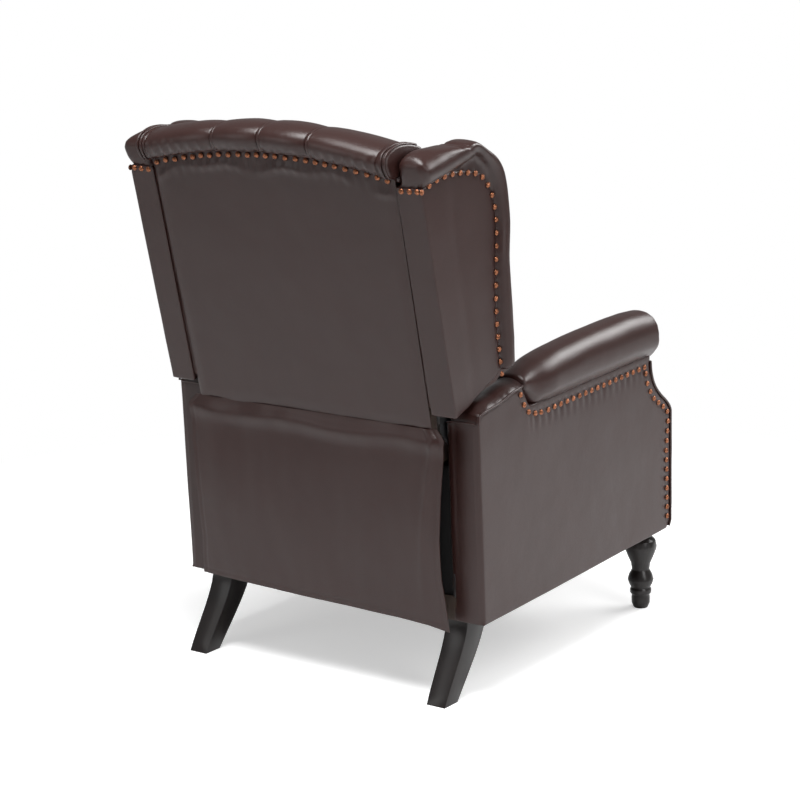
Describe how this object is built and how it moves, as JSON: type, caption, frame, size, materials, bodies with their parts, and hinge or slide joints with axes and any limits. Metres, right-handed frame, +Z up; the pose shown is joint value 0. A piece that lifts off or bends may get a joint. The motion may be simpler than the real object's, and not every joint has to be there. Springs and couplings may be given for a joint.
{
  "type": "wingback recliner",
  "caption": "Push-back wingback recliner: rolled arms, channelled back with padded wings, coupled sliding seat and fold-out footrest, turned front and sabre rear legs.",
  "frame": {"origin": "middle of the footprint on the floor, under the centre of the chair's bounding box", "axes": "+Z up, -Y the way the sitter faces, +X the sitter's left"},
  "size_m": [0.714, 0.8451, 1.0378],
  "materials": {
    "leather": "dark brown bonded leather, semi-gloss",
    "copper_nails": "domed steel nails with an aged copper plating",
    "stained_legs": "espresso stained hardwood, satin lacquer",
    "timber": "raw frame timber",
    "steel": "zinc plated sheet and rod",
    "rollers": "moulded nylon",
    "webbing": "woven elastic webbing"
  },
  "bodies": {
    "base": {"left_arm_posts": "timber", "right_arm_posts": "timber", "left_arm_rails": "timber", "right_arm_rails": "timber", "left_arm_cover": "leather", "right_arm_cover": "leather", "left_arm_front": "leather", "right_arm_front": "leather", "left_arm_roll": "leather", "right_arm_roll": "leather", "left_arm_nails": "copper_nails", "right_arm_nails": "copper_nails", "front_rail": "timber", "rear_rail": "timber", "left_front_leg": "stained_legs", "right_front_leg": "stained_legs", "left_rear_leg": "stained_legs", "right_rear_leg": "stained_legs", "leg_bolts": "steel", "left_base_plate": "steel", "right_base_plate": "steel", "base_plate_screws": "steel", "back_pivot_bolts": "steel", "rear_flap": "leather", "return_springs": "steel"},
    "back": {"back_posts": "timber", "back_rails": "timber", "back_webbing": "webbing", "back_brackets": "steel", "outside_back": "leather", "back_cushion": "leather", "left_wing_board": "timber", "right_wing_board": "timber", "left_wing_panel": "leather", "right_wing_panel": "leather", "left_wing_pad": "leather", "right_wing_pad": "leather", "back_nails": "copper_nails", "left_wing_nails": "copper_nails", "right_wing_nails": "copper_nails"},
    "seat": {"left_seat_plate": "steel", "right_seat_plate": "steel", "seat_rollers": "rollers", "seat_side_rails": "timber", "seat_cross_rails": "timber", "seat_springs": "steel", "seat_cushion": "leather", "seat_torsion_tube": "steel"},
    "rear_links": {"footrest_rear_links": "steel"},
    "cross_links": {"footrest_cross_links": "steel"},
    "lower_links": {"footrest_lower_links": "steel"},
    "upper_links": {"footrest_upper_links": "steel"},
    "control_links": {"footrest_control_links": "steel"},
    "footrest": {"footrest_brackets": "steel", "footrest_board": "timber", "footrest_pad": "leather"}
  },
  "joints": [
    {"name": "back_recline", "type": "hinge", "parent": "base", "child": "back", "pos_m": [0, 0.20817, 0.52227], "axis": [-1, 0, 0], "range_deg": [0, 30], "deforming": ["rear_flap"]},
    {"name": "seat_slide", "type": "slide", "parent": "base", "child": "seat", "axis": [0, -0.9996, 0.0297], "range_m": [0, 0.065], "deforming": ["return_springs"]},
    {"name": "rear_link_turn", "type": "hinge", "parent": "seat", "child": "rear_links", "pos_m": [0, -0.25419, 0.17983], "axis": [-1, 0, 0], "range_deg": [-44, 0]},
    {"name": "cross_link_turn", "type": "hinge", "parent": "rear_links", "child": "cross_links", "pos_m": [0, -0.2576, 0.26477], "axis": [-1, 0, 0], "range_deg": [0, 134]},
    {"name": "lower_link_turn", "type": "hinge", "parent": "rear_links", "child": "lower_links", "pos_m": [0, -0.26017, 0.32871], "axis": [-1, 0, 0], "range_deg": [0, 134]},
    {"name": "upper_link_turn", "type": "hinge", "parent": "cross_links", "child": "upper_links", "pos_m": [0, -0.29199, 0.17836], "axis": [-1, 0, 0], "range_deg": [-134, 0]},
    {"name": "control_link_turn", "type": "hinge", "parent": "lower_links", "child": "control_links", "pos_m": [0, -0.31822, 0.18284], "axis": [-1, 0, 0], "range_deg": [-134, 0]},
    {"name": "footrest_turn", "type": "hinge", "parent": "upper_links", "child": "footrest", "pos_m": [0, -0.29809, 0.33023], "axis": [-1, 0, 0], "range_deg": [0, 134]}
  ],
  "couplings": [
    {"joint": "seat_slide", "follows": "back_recline", "m_per_rad": 0.12414},
    {"joint": "rear_link_turn", "follows": "back_recline", "ratio": -1.4667},
    {"joint": "cross_link_turn", "follows": "back_recline", "ratio": 4.4667},
    {"joint": "lower_link_turn", "follows": "back_recline", "ratio": 4.4667},
    {"joint": "upper_link_turn", "follows": "back_recline", "ratio": -4.4667},
    {"joint": "control_link_turn", "follows": "back_recline", "ratio": -4.4667},
    {"joint": "footrest_turn", "follows": "back_recline", "ratio": 4.4667}
  ]
}
